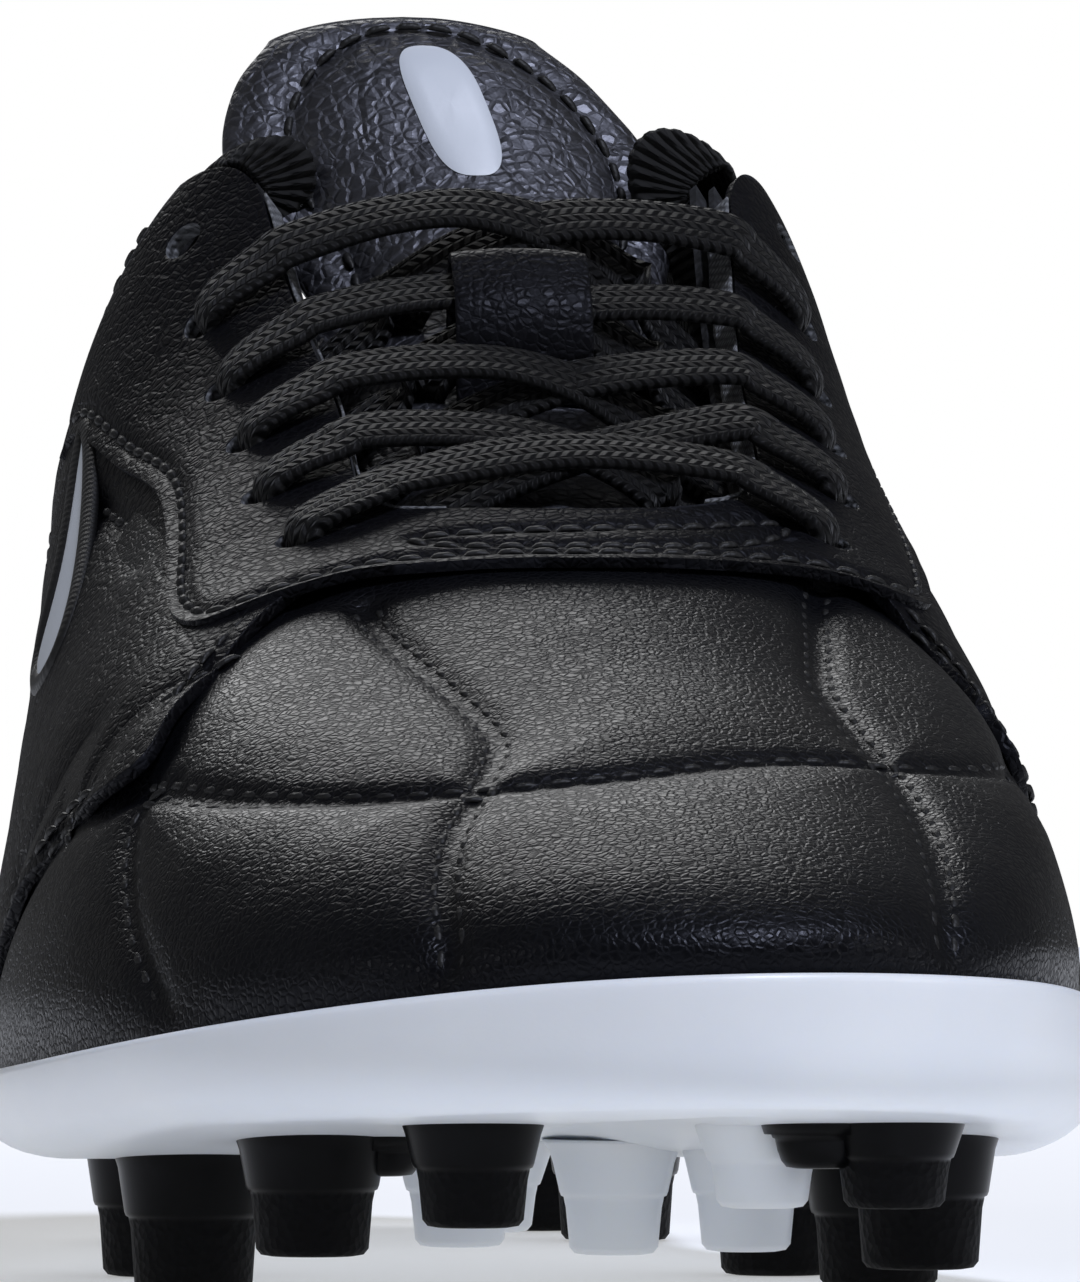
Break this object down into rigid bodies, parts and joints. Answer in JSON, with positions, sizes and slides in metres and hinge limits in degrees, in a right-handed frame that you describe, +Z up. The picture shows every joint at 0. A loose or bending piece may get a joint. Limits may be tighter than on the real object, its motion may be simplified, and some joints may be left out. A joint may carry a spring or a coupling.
{
  "type": "soccer cleat",
  "caption": "Low-cut right-foot football boot: black grained upper with a laced facing and padded tongue on a pale moulded stud plate.",
  "frame": {"origin": "centre of the boot's box, on the ground plane that the ball and heel studs stand on", "axes": "+Z up, toe towards -Y, heel towards +Y, big-toe side towards +X"},
  "size_m": [0.1028, 0.2804, 0.1268],
  "materials": {
    "plate": "satin",
    "stud": "satin",
    "leather": "grained",
    "overlay": "grained",
    "lining": "matt",
    "knit": "ribbed",
    "foam": "matt",
    "stiffener": "matt",
    "board": "matt",
    "sockliner": "matt",
    "mark": "satin",
    "lace": "braided",
    "aglet": "gloss"
  },
  "bodies": {
    "boot": {"outsole_plate": "plate", "stud_lateral_1": "stud", "stud_lateral_2": "stud", "stud_lateral_3": "stud", "stud_lateral_4": "stud", "stud_medial_1": "stud", "stud_medial_2": "stud", "stud_medial_3": "stud", "stud_medial_4": "stud", "stud_heel_lateral_1": "stud", "stud_heel_lateral_2": "stud", "stud_heel_medial_1": "stud", "stud_heel_medial_2": "stud", "insole_board": "board", "sockliner_forepart": "sockliner", "vamp": "leather", "quarter_lateral": "leather", "quarter_medial": "leather", "facing": "overlay", "eyelet_stay_lateral": "lining", "eyelet_stay_medial": "lining", "toe_puff": "stiffener", "heel_counter": "stiffener", "collar_foam": "foam", "collar_lining": "knit", "vamp_lining": "lining", "heel_strip": "overlay", "side_patch_lateral": "mark", "side_patch_medial": "mark", "tongue_lower": "leather", "lace_keeper": "overlay", "lace": "lace", "aglet_lateral": "aglet", "aglet_medial": "aglet"},
    "tongue_flap_body": {"tongue_flap": "leather", "tongue_label": "mark"},
    "sockliner_heel_body": {"sockliner_heel": "sockliner"}
  },
  "joints": [
    {"name": "tongue_flex", "type": "hinge", "parent": "boot", "child": "tongue_flap_body", "pos_m": [0.0045, 0.032, 0.0985], "axis": [1, 0, 0], "range_deg": [-8, 40]},
    {"name": "sockliner_lift", "type": "hinge", "parent": "boot", "child": "sockliner_heel_body", "pos_m": [0, -0.0068, 0.0225], "axis": [1, 0, 0], "range_deg": [0, 8]}
  ]
}
